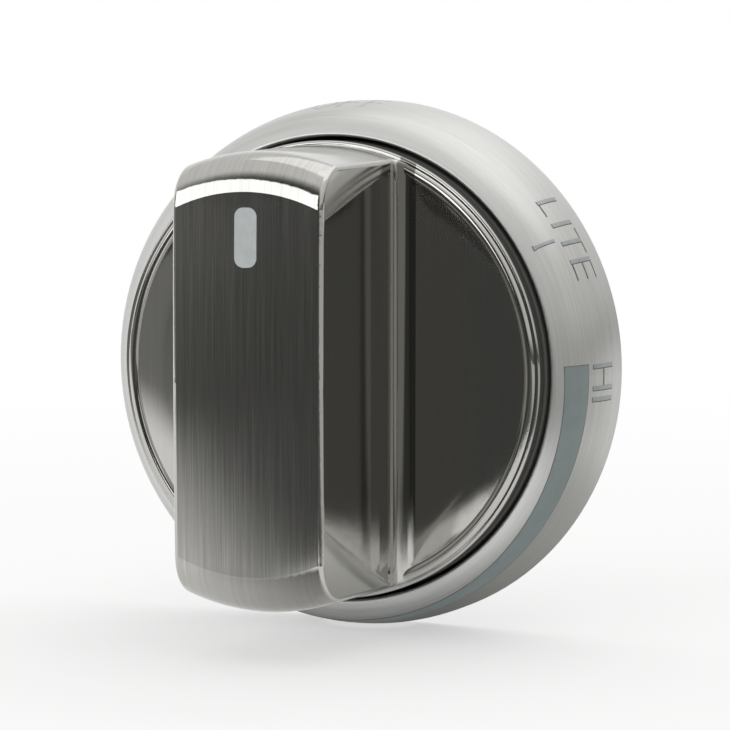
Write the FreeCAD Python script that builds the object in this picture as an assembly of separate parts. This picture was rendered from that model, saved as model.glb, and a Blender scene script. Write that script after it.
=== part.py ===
import FreeCAD, Part
import math
import os

# Range control knob: a bar grip on a round disc turns and pushes inside a marked dial ring.
# Millimetres and degrees. Every piece is drawn about a working axis Z that points out of the
# panel, with the bar along Y, and is then turned so that the front faces -Y and the bar stands
# along Z. The panel plane is at zero, and the knob's axis passes through the origin.

Vector = FreeCAD.Vector

# Dial ring: drawn stainless sheet with a rounded front, a turned-in lip and folded tabs.
ring_diameter = 58.0
ring_depth = 11.5
ring_band = 3.8
ring_sheet = 0.8
ring_straight = 2.0
ring_side_radius = 20.0
ring_side_angle = 18.0
lip_collar_depth = 2.6
lip_edge_round = 0.25
lip_gap = 0.45
tab_count = 3
tab_width = 8.0
tab_reach = 2.8

# Grip disc: the round foot of the grip, with a low bead round its face and an eased rim.
disc_proud = 2.1
disc_skirt = 6.4
disc_wall = 1.8
skirt_wall = 1.6
bead_width = 1.2
bead_height = 0.35
bead_inset = 0.5
disc_edge_round = 0.3
disc_rib_count = 12
disc_rib_height = 1.6
disc_rib_thickness = 1.2

# Grip bar: the raised bar that the fingers pinch.
bar_width = 17.2
bar_height = 18.8
bar_end_inset = 0.37
bar_end_draft = 1.6
bar_crown = 0.35
bar_end_round = 4.2
bar_edge_round = 0.55
bar_cove = 1.8
bar_front_wall = 2.0
bar_side_wall = 1.6
bar_end_wall = 2.0

# Finger pockets: flush at the front edge of each side and deepest at the foot. The end gaps are
# measured from the bar's ends at the same height.
pocket_depth = 1.0
pocket_front_margin = 0.9
pocket_foot_margin = 2.35
pocket_front_upper_gap = 6.9
pocket_front_lower_gap = 9.4
pocket_foot_upper_gap = 2.6
pocket_foot_lower_gap = 2.2

# Pointer: a pale inlay set flush in the front of the bar.
pointer_width = 2.6
pointer_length = 6.2
pointer_end_gap = 5.55
pointer_corner = 1.0
pointer_depth = 0.5
pointer_fit = 0.03

# Hub: the moulded core with the stem socket, screwed up into the grip.
stem_diameter = 8.0
stem_across_flat = 6.5
stem_fit = 0.05
pilot_clearance = 0.6
pilot_length = 4.0
socket_length = 13.0
socket_end_wall = 2.0
sleeve_wall = 1.9
nose_wall = 1.65
nose_fit = 0.15
flange_thickness = 1.5
flange_margin = 0.2
nose_rib_thickness = 2.0
nose_rib_height = 5.5
nose_rib_gap = 0.7
hub_end_land = 0.7

# Screws that hold the hub to the grip.
screw_shank_diameter = 2.3
screw_length = 8.0
screw_head_diameter = 4.6
screw_head_height = 1.3
screw_recess_width = 0.7
screw_recess_length = 2.8
screw_recess_depth = 0.7
screw_hole_clearance = 0.45
screw_pilot_fit = 0.05
screw_head_margin = 0.5
screw_boss_wall = 1.6
screw_pilot_spare = 1.0

# Stem clip: a bowed leaf spring behind the flat of the socket.
clip_thickness = 0.35
clip_width = 4.6
clip_length = 8.6
clip_bite = 0.25
clip_slot_depth = 0.9
clip_side_gap = 0.2
clip_end_gap = 0.2
clip_back_gap = 0.03

# Push mechanism: bearing, return spring, thrust washer and retaining ring.
push_travel = 2.5
push_clearance = 0.5
stop_clearance = 0.25
bearing_length = 2.8
bearing_clearance = 0.05
retainer_width = 2.25
retainer_thickness = 0.7
retainer_groove_depth = 0.6
retainer_groove_play = 0.05
retainer_fit = 0.05
retainer_gap_angle = 64.0
retainer_eye_diameter = 1.1
retainer_room = 0.8
turret_wall = 1.5
washer_thickness = 0.8
washer_width = 2.1
washer_turret_gap = 0.4
washer_flange_gap = 0.05
spring_wire = 0.6
spring_turns = 3.0
spring_washer_inset = 0.2
spring_seat_gap = 0.02

# Ring carrier: the moulded base that fills the ring and is screwed to the panel.
carrier_ring_fit = 0.2
carrier_rim_wall = 1.6
carrier_deck = 1.6
carrier_wall = 1.1
carrier_wall_gap = 0.3
carrier_collar_gap = 0.2
carrier_tab_gap = 0.1
carrier_rib_count = 6
carrier_rib_thickness = 1.2
carrier_rib_foot = 1.0
panel_screw_count = 3
panel_boss_rim_gap = 0.7
panel_screw_hole = 2.5
panel_screw_first_angle = 30.0
panel_boss_diameter = 6.4
panel_hole_end_wall = 0.8

# Small overlap that lets fused features share volume instead of only a face.
weld = 0.5

# Heights above the panel along the axis, and radii, that several pieces share.
ring_r = ring_diameter / 2
lip_r = ring_r - ring_band
disc_r = lip_r - lip_gap
rim_z = ring_depth + disc_proud
face_z = rim_z - bead_height
ceiling_z = face_z - disc_wall
skirt_z = rim_z - disc_skirt
front_z = rim_z + bar_height
bar_half = bar_width / 2
cavity_half = bar_half - pocket_depth - bar_side_wall
cavity_r = disc_r - bar_end_inset - bar_height * math.tan(math.radians(bar_end_draft)) - bar_end_wall
stem_r = stem_diameter / 2 + stem_fit
stem_flat_y = stem_across_flat - stem_diameter / 2 + stem_fit
pilot_r = stem_diameter / 2 + pilot_clearance
sleeve_r = pilot_r + sleeve_wall
flange_back_z = ceiling_z - flange_thickness
turret_top_z = flange_back_z - push_travel - stop_clearance
bearing_rear_z = turret_top_z - bearing_length
groove_front_z = bearing_rear_z - retainer_groove_play
retainer_front_z = groove_front_z - retainer_groove_play
retainer_rear_z = retainer_front_z - retainer_thickness
groove_rear_z = retainer_rear_z - retainer_groove_play
hub_rear_z = groove_rear_z - hub_end_land
groove_r = sleeve_r - retainer_groove_depth
retainer_outer_r = groove_r + retainer_fit + retainer_width
retainer_room_r = retainer_outer_r + retainer_room
turret_r = retainer_room_r + turret_wall
washer_inner_r = turret_r + washer_turret_gap
washer_outer_r = washer_inner_r + washer_width
washer_front_z = flange_back_z - washer_flange_gap
washer_back_z = washer_front_z - washer_thickness
flange_r = washer_outer_r + flange_margin
deck_front_z = skirt_z - push_travel - push_clearance
deck_back_z = deck_front_z - carrier_deck
screw_head_r = screw_head_diameter / 2
screw_shank_r = screw_shank_diameter / 2
screw_y = flange_r + screw_head_r + screw_head_margin
screw_boss_r = screw_shank_r + screw_pilot_fit + screw_boss_wall
pilot_end_z = hub_rear_z + pilot_length
socket_end_z = pilot_end_z + socket_length
nose_end_z = socket_end_z + socket_end_wall


def point(r, z):
    """A point of a turned profile: radius r, height z above the panel."""
    return Vector(r, 0, z)


def lines(points):
    """Straight edges through the points in turn."""
    pairs = zip(points[:-1], points[1:])
    return [Part.LineSegment(a, b).toShape() for a, b in pairs]


def arc(start, middle, end):
    """A circular edge through three points."""
    return Part.Arc(start, middle, end).toShape()


def turned(edges):
    """The solid turned about the axis from a closed profile."""
    face = Part.Face(Part.Wire(edges))
    return face.revolve(Vector(0, 0, 0), Vector(0, 0, 1), 360)


def turned_polygon(points):
    """The solid turned about the axis from a profile of straight edges."""
    return turned(lines(points + points[:1]))


def rod(radius, low_z, high_z, x=0, y=0):
    """A round bar parallel to the axis."""
    return Part.makeCylinder(radius, high_z - low_z, Vector(x, y, low_z))


def tube(inner_r, outer_r, low_z, high_z):
    """A plain sleeve about the axis."""
    return rod(outer_r, low_z, high_z).cut(rod(inner_r, low_z - weld, high_z + weld))


def block(low, high):
    """A box between two opposite corners."""
    size = high - low
    return Part.makeBox(size.x, size.y, size.z, low)


def spun(shape, angle):
    """A copy of the shape turned about the axis."""
    copy = shape.copy()
    copy.rotate(Vector(0, 0, 0), Vector(0, 0, 1), angle)
    return copy


def ring_of(shape, count, first_angle=0):
    """Copies of the shape evenly spaced about the axis."""
    return [spun(shape, first_angle + 360.0 * i / count) for i in range(count)]


def rounded_rectangle(width, low_y, high_y, corner, z):
    """A flat face with round corners, centred on x = 0."""
    half = width / 2
    diagonal = corner * (1 - math.sqrt(0.5))
    left, right = -half, half
    edges = [
        Part.LineSegment(Vector(left + corner, low_y, z), Vector(right - corner, low_y, z)).toShape(),
        arc(Vector(right - corner, low_y, z), Vector(right - diagonal, low_y + diagonal, z),
            Vector(right, low_y + corner, z)),
        Part.LineSegment(Vector(right, low_y + corner, z), Vector(right, high_y - corner, z)).toShape(),
        arc(Vector(right, high_y - corner, z), Vector(right - diagonal, high_y - diagonal, z),
            Vector(right - corner, high_y, z)),
        Part.LineSegment(Vector(right - corner, high_y, z), Vector(left + corner, high_y, z)).toShape(),
        arc(Vector(left + corner, high_y, z), Vector(left + diagonal, high_y - diagonal, z),
            Vector(left, high_y - corner, z)),
        Part.LineSegment(Vector(left, high_y - corner, z), Vector(left, low_y + corner, z)).toShape(),
        arc(Vector(left, low_y + corner, z), Vector(left + diagonal, low_y + diagonal, z),
            Vector(left + corner, low_y, z)),
    ]
    return Part.Face(Part.Wire(edges))


def dial_ring():
    """Sheet ring: straight at the panel, a shallow then a tight curve over the front, lip turned back."""
    turn = math.radians(ring_side_angle)
    across = point(math.cos(turn), math.sin(turn))
    side_centre = point(ring_r - ring_side_radius, ring_straight)
    join = side_centre + across * ring_side_radius
    lip = point(lip_r, ring_depth)
    chord = lip - join
    front_radius = -chord.dot(chord) / (2 * chord.dot(across))
    front_centre = join - across * front_radius
    collar_r = lip_r + ring_sheet
    collar_z = ring_depth - lip_collar_depth

    def on_arc(centre, radius, angle):
        """Point of an arc about a centre of the profile."""
        return centre + point(math.cos(angle), math.sin(angle)) * radius

    def angle_of(centre, radius, r):
        """Angle at which an arc of the profile reaches a distance r from the axis."""
        return math.acos((r - centre.x) / radius)

    def skin(depth, end_r):
        """Profile edges of the sheet's face that lies depth below its outside."""
        side = ring_side_radius - depth
        front = front_radius - depth
        end = angle_of(front_centre, front, end_r)
        return [
            Part.LineSegment(point(ring_r - depth, 0), point(ring_r - depth, ring_straight)).toShape(),
            arc(on_arc(side_centre, side, 0), on_arc(side_centre, side, turn / 2),
                on_arc(side_centre, side, turn)),
            arc(on_arc(front_centre, front, turn), on_arc(front_centre, front, (turn + end) / 2),
                on_arc(front_centre, front, end)),
        ]

    outside = skin(0, lip_r)
    inside = skin(ring_sheet, collar_r)
    inside_end = angle_of(front_centre, front_radius - ring_sheet, collar_r)
    inside_z = on_arc(front_centre, front_radius - ring_sheet, inside_end).z
    foot = lines([point(ring_r - ring_sheet, 0), point(ring_r, 0)])
    collar = lines([lip, point(lip_r, collar_z), point(collar_r, collar_z), point(collar_r, inside_z)])
    ring = turned(foot + outside + collar + inside[::-1])
    lip_edge = [e for e in ring.Edges if abs(e.BoundBox.ZMin - ring_depth) < 1e-6]
    ring = ring.makeFillet(lip_edge_round, lip_edge)
    inner_r = ring_r - ring_sheet
    tab = block(Vector(-tab_width / 2, inner_r - tab_reach, 0),
                Vector(tab_width / 2, inner_r + ring_sheet / 2, ring_sheet))
    return ring.fuse(ring_of(tab, tab_count)).removeSplitter()


def ring_carrier():
    """Moulded base: rim inside the ring, wall under the lip, deck, bearing turret and screw bosses."""
    rim_r = ring_r - ring_sheet - carrier_ring_fit
    rim_inner_r = rim_r - carrier_rim_wall
    rim_foot_z = ring_sheet + carrier_tab_gap
    wall_inner_r = lip_r + carrier_wall_gap
    wall_outer_r = wall_inner_r + carrier_wall
    wall_top_z = ring_depth - lip_collar_depth - carrier_collar_gap
    bearing_r = sleeve_r + bearing_clearance
    body = turned_polygon([
        point(rim_r, rim_foot_z),
        point(rim_r, deck_front_z),
        point(wall_outer_r, deck_front_z),
        point(wall_outer_r, wall_top_z),
        point(wall_inner_r, wall_top_z),
        point(wall_inner_r, deck_front_z),
        point(turret_r, deck_front_z),
        point(turret_r, turret_top_z),
        point(bearing_r, turret_top_z),
        point(bearing_r, bearing_rear_z),
        point(retainer_room_r, bearing_rear_z),
        point(retainer_room_r, deck_back_z),
        point(rim_inner_r, deck_back_z),
        point(rim_inner_r, rim_foot_z),
    ])
    deck_middle_z = (deck_back_z + deck_front_z) / 2
    rib = block(Vector(-carrier_rib_thickness / 2, retainer_room_r, carrier_rib_foot),
                Vector(carrier_rib_thickness / 2, rim_inner_r + carrier_rim_wall / 2, deck_middle_z))
    boss_x = rim_inner_r - panel_boss_rim_gap - panel_boss_diameter / 2
    boss = rod(panel_boss_diameter / 2, 0, deck_middle_z, x=boss_x)
    hole = rod(panel_screw_hole / 2, -weld, deck_front_z - panel_hole_end_wall, x=boss_x)
    bosses = ring_of(boss, panel_screw_count, panel_screw_first_angle)
    holes = ring_of(hole, panel_screw_count, panel_screw_first_angle)
    return body.fuse(ring_of(rib, carrier_rib_count) + bosses).cut(holes).removeSplitter()


def bar_end_radius(z):
    """Radius of the bar's drafted ends at a height."""
    return disc_r - bar_end_inset - (z - rim_z) * math.tan(math.radians(bar_end_draft))


def bar_envelope():
    """Drafted round form trimmed by a large ball, which domes the front, with the end edge rolled over."""
    foot_z = face_z - weld
    top_z = front_z + weld
    form = Part.makeCone(bar_end_radius(foot_z), bar_end_radius(top_z), top_z - foot_z, Vector(0, 0, foot_z))
    end_r = bar_end_radius(front_z)
    ball_r = (end_r ** 2 + bar_crown ** 2) / (2 * bar_crown)
    ball = Part.makeSphere(ball_r, Vector(0, 0, front_z - ball_r), Vector(1, 0, 0))
    form = form.common(ball)
    shoulder = [e for e in form.Edges if e.BoundBox.ZLength < 1e-6 and e.BoundBox.ZMin > rim_z]
    return form.makeFillet(bar_end_round, shoulder)


def grip_bar():
    """The bar: a section with flared feet along Y, trimmed by the turned envelope, edges eased."""
    foot_z = face_z - weld
    spread = bar_half + bar_cove
    flare_z = face_z + bar_cove
    dip = bar_cove * math.sqrt(0.5)
    top_z = front_z + weld
    edges = lines([Vector(-spread, 0, face_z), Vector(-spread, 0, foot_z), Vector(spread, 0, foot_z),
                   Vector(spread, 0, face_z)])
    edges.append(arc(Vector(spread, 0, face_z), Vector(spread - dip, 0, flare_z - dip),
                     Vector(bar_half, 0, flare_z)))
    edges += lines([Vector(bar_half, 0, flare_z), Vector(bar_half, 0, top_z), Vector(-bar_half, 0, top_z),
                    Vector(-bar_half, 0, flare_z)])
    edges.append(arc(Vector(-bar_half, 0, flare_z), Vector(-spread + dip, 0, flare_z - dip),
                     Vector(-spread, 0, face_z)))
    section = Part.Face(Part.Wire(edges))
    section.translate(Vector(0, -disc_r, 0))
    bar = section.extrude(Vector(0, 2 * disc_r, 0)).common(bar_envelope())
    eased = [e for e in bar.Edges if e.BoundBox.XLength < 1e-6
             and abs(abs(e.BoundBox.Center.x) - bar_half) < 1e-6 and e.BoundBox.ZMax > flare_z + weld]
    return bar.makeFillet(bar_edge_round, eased)


def finger_pocket():
    """Tool for the right-hand pocket: a sloping floor carried straight out through the side."""
    front = front_z - pocket_front_margin
    foot = rim_z + pocket_foot_margin
    floor_x = bar_half - pocket_depth
    front_end = bar_end_radius(front)
    foot_end = bar_end_radius(foot)
    corners = [Vector(bar_half, front_end - pocket_front_upper_gap, front),
               Vector(bar_half, pocket_front_lower_gap - front_end, front),
               Vector(floor_x, pocket_foot_lower_gap - foot_end, foot),
               Vector(floor_x, foot_end - pocket_foot_upper_gap, foot)]
    floor = Part.Face(Part.makePolygon(corners + corners[:1]))
    return floor.extrude(Vector(pocket_depth + weld, 0, 0))


def grip_disc():
    """The round foot as a full turned solid with the bead near its eased rim."""
    bead_outer_r = disc_r - bead_inset
    bead_inner_r = bead_outer_r - bead_width
    bead_middle_r = bead_outer_r - bead_width / 2
    ease = disc_edge_round
    ease_middle = ease * (1 - math.sqrt(0.5))
    edges = lines([point(bead_inner_r, face_z), point(0, face_z), point(0, skirt_z), point(disc_r, skirt_z),
                   point(disc_r, face_z - ease)])
    edges.append(arc(point(disc_r, face_z - ease), point(disc_r - ease_middle, face_z - ease_middle),
                     point(disc_r - ease, face_z)))
    edges += lines([point(disc_r - ease, face_z), point(bead_outer_r, face_z)])
    edges.append(arc(point(bead_outer_r, face_z), point(bead_middle_r, rim_z), point(bead_inner_r, face_z)))
    return turned(edges)


def grip_and_pointer():
    """The cast grip, hollow behind, and the pointer that fills the recess in its front."""
    bar = grip_bar()
    body = grip_disc().fuse(bar)
    pocket = finger_pocket()
    body = body.cut([pocket, pocket.mirror(Vector(0, 0, 0), Vector(1, 0, 0))])
    bore_r = disc_r - skirt_wall
    cavity_top_z = front_z - bar_front_wall
    cavity = block(Vector(-cavity_half, -disc_r, ceiling_z - weld),
                   Vector(cavity_half, disc_r, cavity_top_z))
    cavity = cavity.common(rod(cavity_r, ceiling_z - weld, cavity_top_z))
    body = body.cut([rod(bore_r, skirt_z - weld, ceiling_z), cavity])
    boss = rod(screw_boss_r, ceiling_z, cavity_top_z + bar_front_wall / 2, y=screw_y)
    rib_low = ceiling_z - disc_rib_height
    rib_start = screw_y + screw_head_r + screw_head_margin
    rib = block(Vector(-disc_rib_thickness / 2, rib_start, rib_low),
                Vector(disc_rib_thickness / 2, bore_r + skirt_wall / 2, ceiling_z + disc_wall / 2))
    half_step = 180.0 / disc_rib_count
    body = body.fuse(ring_of(boss, 2) + ring_of(rib, disc_rib_count, half_step))
    hole_top_z = flange_back_z + screw_length + screw_pilot_spare
    hole = rod(screw_shank_r + screw_pilot_fit, ceiling_z - weld, hole_top_z, y=screw_y)
    recess_z = front_z - bar_crown - pointer_depth
    tip_y = bar_end_radius(front_z) - pointer_end_gap
    low_y = tip_y - pointer_length
    recess = rounded_rectangle(pointer_width, low_y, tip_y, pointer_corner, recess_z)
    recess = recess.extrude(Vector(0, 0, front_z + weld - recess_z))
    filling = rounded_rectangle(pointer_width - 2 * pointer_fit, low_y + pointer_fit, tip_y - pointer_fit,
                                pointer_corner - pointer_fit, recess_z)
    pointer = filling.extrude(Vector(0, 0, front_z + weld - recess_z)).common(bar)
    body = body.cut(ring_of(hole, 2) + [recess]).removeSplitter()
    return body, pointer


def hub():
    """Moulded core: running sleeve, flange with screw ears, ribbed nose and the stem socket."""
    nose_r = stem_r + nose_wall
    nose_half = cavity_half - nose_fit
    ear_half = screw_boss_r
    body = rod(sleeve_r, hub_rear_z, flange_back_z + weld).fuse(rod(flange_r, flange_back_z, ceiling_z))
    ear = block(Vector(-ear_half, 0, flange_back_z), Vector(ear_half, screw_y, ceiling_z))
    ear = ear.fuse(rod(ear_half, flange_back_z, ceiling_z, y=screw_y))
    nose = rod(nose_r, ceiling_z - weld, nose_end_z)
    rib_end = screw_y - screw_boss_r - nose_rib_gap
    rib = block(Vector(-nose_rib_thickness / 2, 0, ceiling_z - weld),
                Vector(nose_rib_thickness / 2, rib_end, ceiling_z + nose_rib_height))
    nose = nose.common(block(Vector(-nose_half, -disc_r, ceiling_z - weld),
                             Vector(nose_half, disc_r, nose_end_z)))
    body = body.fuse(ring_of(ear, 2) + [nose] + ring_of(rib, 2))
    socket = rod(stem_r, pilot_end_z - weld, socket_end_z)
    socket = socket.cut(block(Vector(-disc_r, -disc_r, 0),
                              Vector(disc_r, -stem_flat_y, socket_end_z + weld)))
    slot_half = clip_width / 2 + clip_side_gap
    slot = block(Vector(-slot_half, -stem_flat_y - clip_slot_depth, pilot_end_z - weld),
                 Vector(slot_half, -stem_flat_y + weld, pilot_end_z + clip_length + 2 * clip_end_gap))
    groove = tube(groove_r, sleeve_r + weld, groove_rear_z, groove_front_z)
    hole = rod(screw_shank_r + screw_hole_clearance, flange_back_z - weld, ceiling_z + weld, y=screw_y)
    cuts = [rod(pilot_r, hub_rear_z - weld, pilot_end_z), socket, slot, groove] + ring_of(hole, 2)
    return body.cut(cuts).removeSplitter()


def hub_screw():
    """A pan-head screw with a cross recess, up through an ear of the hub into the grip."""
    head_low_z = flange_back_z - screw_head_height
    screw = rod(screw_head_r, head_low_z, flange_back_z).fuse(
        rod(screw_shank_r, flange_back_z - weld, flange_back_z + screw_length))
    screw.translate(Vector(0, screw_y, 0))
    reach = screw_recess_length / 2
    bar = block(Vector(-reach, screw_y - screw_recess_width / 2, head_low_z - weld),
                Vector(reach, screw_y + screw_recess_width / 2, head_low_z + screw_recess_depth))
    cross = block(Vector(-screw_recess_width / 2, screw_y - reach, head_low_z - weld),
                  Vector(screw_recess_width / 2, screw_y + reach, head_low_z + screw_recess_depth))
    return screw.cut([bar, cross]).removeSplitter()


def stem_clip():
    """A bowed strip whose ends lie on the slot's back wall and whose middle bites into the socket."""
    back_y = -stem_flat_y - clip_slot_depth + clip_back_gap
    peak_y = -stem_flat_y + clip_bite
    low_z = pilot_end_z + clip_end_gap
    high_z = low_z + clip_length
    mid_z = (low_z + high_z) / 2
    x = -clip_width / 2
    edges = [arc(Vector(x, back_y, low_z), Vector(x, peak_y - clip_thickness, mid_z),
                 Vector(x, back_y, high_z))]
    edges += lines([Vector(x, back_y, high_z), Vector(x, back_y + clip_thickness, high_z)])
    edges.append(arc(Vector(x, back_y + clip_thickness, high_z), Vector(x, peak_y, mid_z),
                     Vector(x, back_y + clip_thickness, low_z)))
    edges += lines([Vector(x, back_y + clip_thickness, low_z), Vector(x, back_y, low_z)])
    return Part.Face(Part.Wire(edges)).extrude(Vector(clip_width, 0, 0))


def thrust_washer():
    """Flat ring between the return spring and the turning flange."""
    return tube(washer_inner_r, washer_outer_r, washer_back_z, washer_front_z)


def return_spring():
    """Round wire about the turret. Each half turn is half of a torus tilted about Y, so the half turns
    meet square to Y and climb without a kink from the deck to the thrust washer."""
    wire_r = spring_wire / 2
    coil_r = washer_inner_r + spring_washer_inset + wire_r
    low_z = deck_front_z + wire_r + spring_seat_gap
    rise = washer_back_z - wire_r - spring_seat_gap - low_z
    half_turns = int(round(2 * spring_turns))
    step = rise / half_turns
    tilt = math.degrees(math.atan2(step, 2 * coil_r))
    torus_r = math.hypot(coil_r, step / 2)
    coil = None
    for i in range(half_turns):
        side = 1 if i % 2 == 0 else -1
        half = Part.makeTorus(torus_r, wire_r, Vector(0, 0, 0), Vector(0, 0, 1), -180, 180, 180)
        half.rotate(Vector(0, 0, 0), Vector(0, 0, 1), 0 if side > 0 else 180)
        half.rotate(Vector(0, 0, 0), Vector(0, 1, 0), side * tilt)
        half.translate(Vector(0, 0, low_z + (i + 0.5) * step))
        coil = half if coil is None else coil.fuse(half)
    return coil.removeSplitter()


def retaining_ring():
    """Open ring in the groove of the sleeve, with an eye at each end for the fitting pliers."""
    inner_r = groove_r + retainer_fit
    body = tube(inner_r, retainer_outer_r, retainer_rear_z, retainer_front_z)
    half_gap = math.radians(retainer_gap_angle / 2)
    far = 2 * retainer_outer_r
    mouth = Part.makePolygon([Vector(0, 0, retainer_rear_z),
                              Vector(far * math.sin(half_gap), -far * math.cos(half_gap), retainer_rear_z),
                              Vector(-far * math.sin(half_gap), -far * math.cos(half_gap), retainer_rear_z),
                              Vector(0, 0, retainer_rear_z)])
    body = body.cut(Part.Face(mouth).extrude(Vector(0, 0, retainer_thickness)))
    eye_r = (inner_r + retainer_outer_r) / 2
    eye = rod(retainer_eye_diameter / 2, retainer_rear_z - weld, retainer_front_z + weld, y=-eye_r)
    eye_angle = retainer_gap_angle / 2 + math.degrees(retainer_eye_diameter / eye_r)
    return body.cut([spun(eye, eye_angle), spun(eye, -eye_angle)])


def save(name, shape):
    """Turn a finished piece into its place and write it."""
    shape.rotate(Vector(0, 0, 0), Vector(1, 0, 0), 90)
    shape.exportStep("parts/" + name + ".step")
    state = "valid" if shape.isValid() else "not valid"
    print(name, len(shape.Solids), "solids", state, round(shape.Volume, 2))


os.makedirs("parts", exist_ok=True)
grip, pointer = grip_and_pointer()
save("dial_ring", dial_ring())
save("ring_carrier", ring_carrier())
save("grip", grip)
save("pointer_inlay", pointer)
save("hub", hub())
upper_screw, lower_screw = ring_of(hub_screw(), 2)
save("hub_screw_upper", upper_screw)
save("hub_screw_lower", lower_screw)
save("stem_clip", stem_clip())
save("thrust_washer", thrust_washer())
save("return_spring", return_spring())
save("retaining_ring", retaining_ring())
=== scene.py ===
# %% [markdown]
# # A push-to-turn control knob
# The knob has a dial ring that stays on the panel and a bar grip that turns inside it. Its solids come
# from a measured model, so this lesson dresses them: metal finishes, filled marks, light and a camera.
# Everything is in metres, in the solids' own frame: X right, Z up, the front towards -Y. Sizes are
# written in millimetres and multiplied by mm where they meet Blender.

# %% Load the measured solids
import bmesh
import bpy
import math
import numpy as np
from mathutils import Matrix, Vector


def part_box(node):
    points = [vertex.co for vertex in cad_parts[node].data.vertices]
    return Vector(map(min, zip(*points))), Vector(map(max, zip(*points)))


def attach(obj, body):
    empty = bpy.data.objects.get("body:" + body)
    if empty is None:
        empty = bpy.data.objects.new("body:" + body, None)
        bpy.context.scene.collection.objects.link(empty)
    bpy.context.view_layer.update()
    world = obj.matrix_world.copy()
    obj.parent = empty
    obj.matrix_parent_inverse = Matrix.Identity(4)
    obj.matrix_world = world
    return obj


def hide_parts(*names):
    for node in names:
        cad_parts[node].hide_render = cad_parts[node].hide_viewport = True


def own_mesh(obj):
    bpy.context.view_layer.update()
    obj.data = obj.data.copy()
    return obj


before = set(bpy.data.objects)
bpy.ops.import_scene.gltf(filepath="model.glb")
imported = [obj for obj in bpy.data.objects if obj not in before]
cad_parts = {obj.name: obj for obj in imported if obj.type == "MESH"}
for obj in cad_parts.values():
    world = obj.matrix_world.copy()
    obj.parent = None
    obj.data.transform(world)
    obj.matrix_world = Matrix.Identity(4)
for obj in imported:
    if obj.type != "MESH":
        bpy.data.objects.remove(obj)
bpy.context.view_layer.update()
mm = 0.001
print("solids loaded:", sorted(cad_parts))


# %% [markdown]
# ## Camera
# The picture is taken a little from the right and from slightly above. A camera could be placed by
# eye, but it is surer to give the two angles and the distance, and to aim at one point, because
# those numbers can be read back and changed one at a time.

# %% Place the camera
def towards(azimuth, elevation):
    """The direction at two angles in degrees: azimuth from the front, positive to the right; elevation up."""
    turn, rise = math.radians(azimuth), math.radians(elevation)
    return Vector((math.sin(turn) * math.cos(rise), -math.cos(turn) * math.cos(rise), math.sin(rise)))


view = towards(24.969, 5.111)
view_distance = 346.5 * mm
aim = Vector((4.80 * mm, -13.6 * mm, 0.82 * mm))
lens = bpy.data.cameras.new("studio_camera")
lens.sensor_width = 36.0
lens.lens = 159.6
lens.clip_start = 0.01
camera = bpy.data.objects.new("studio_camera", lens)
camera.location = aim + view_distance * view
camera.rotation_euler = (-view).to_track_quat("-Z", "Y").to_euler()
bpy.context.scene.collection.objects.link(camera)
bpy.context.scene.camera = camera
bpy.context.scene.view_settings.view_transform = "Standard"
print("camera at", [round(c, 4) for c in camera.location])


# %% [markdown]
# ## Helpers for finishes
# Each finish starts from one Principled shader. Its nodes could be placed by hand in the editor, but a
# script can be read from top to bottom. One helper makes the shader and sets the numbers that are the
# same all over the surface straight on its sockets, one adds a node and wires its inputs, and one feeds
# the values that change over the surface into the shader.

# %% Start a finish, add nodes to it and feed its shader
def finish(name, colour, metallic=0.0, roughness=0.5, **sockets):
    """A material with one Principled shader; the keywords name further sockets."""
    material = bpy.data.materials.new(name)
    material.use_nodes = True
    shader = material.node_tree.nodes["Principled BSDF"]
    shader.inputs["Base Color"].default_value = (*colour, 1.0)
    shader.inputs["Metallic"].default_value = metallic
    shader.inputs["Roughness"].default_value = roughness
    for socket, value in sockets.items():
        shader.inputs[socket.replace("_", " ").title()].default_value = value
    return material


def add(tree, kind, settings=None, **inputs):
    """A node of a kind; settings are its own properties, inputs are values or sockets to wire in."""
    node = tree.nodes.new("ShaderNode" + kind)
    for key, value in (settings or {}).items():
        setattr(node, key, value)
    for key, value in inputs.items():
        numbered = key[0] == "i" and key[1:].isdigit()
        socket = node.inputs[int(key[1:]) if numbered else key]
        if isinstance(value, bpy.types.NodeSocket):
            tree.links.new(value, socket)
        else:
            socket.default_value = value
    return node


def feed(tree, **sockets):
    """Wires outputs into the Principled shader; the keywords name its sockets."""
    shader = tree.nodes["Principled BSDF"]
    for socket, output in sockets.items():
        tree.links.new(output, shader.inputs[socket.replace("_", " ").title()])


# %% [markdown]
# Sums and products come up in every finish. Blender has one Math node for all of them, so the few that
# are used most get short names.

# %% Name the common sums
def math_node(tree, operation, a, b=0.0, c=0.0, clamp=False):
    """The output of one Math node."""
    settings = {"operation": operation, "use_clamp": clamp}
    return add(tree, "Math", settings, i0=a, i1=b, i2=c).outputs[0]


def times(tree, a, b):
    """a times b."""
    return math_node(tree, "MULTIPLY", a, b)


def times_plus(tree, a, b, c):
    """a times b, plus c."""
    return math_node(tree, "MULTIPLY_ADD", a, b, c)


def without(tree, mask):
    """The mask turned round: 1 less its value."""
    return math_node(tree, "SUBTRACT", 1.0, mask)


def higher(tree, a, b):
    """The higher of a and b, which joins two masks."""
    return math_node(tree, "MAXIMUM", a, b)


# %% [markdown]
# One solid often carries several finishes: polished here, brushed there. They could be painted on, but
# then the paint has to be kept with the solid. A mask worked out from the place on the piece needs no
# more than a few numbers, and stays where it is when the piece turns.

# %% Make masks from a place
def place_of(tree):
    """X, Y and Z of the place on the piece, in metres."""
    return add(tree, "SeparateXYZ", Vector=add(tree, "TexCoord").outputs["Object"]).outputs


def length_of(tree, vector):
    """The length of a vector."""
    return add(tree, "VectorMath", {"operation": "LENGTH"}, i0=vector).outputs["Value"]


def from_axis(tree, place):
    """The distance from the knob's axis, which runs along Y."""
    return length_of(tree, add(tree, "CombineXYZ", X=place["X"], Z=place["Z"]).outputs[0])


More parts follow.
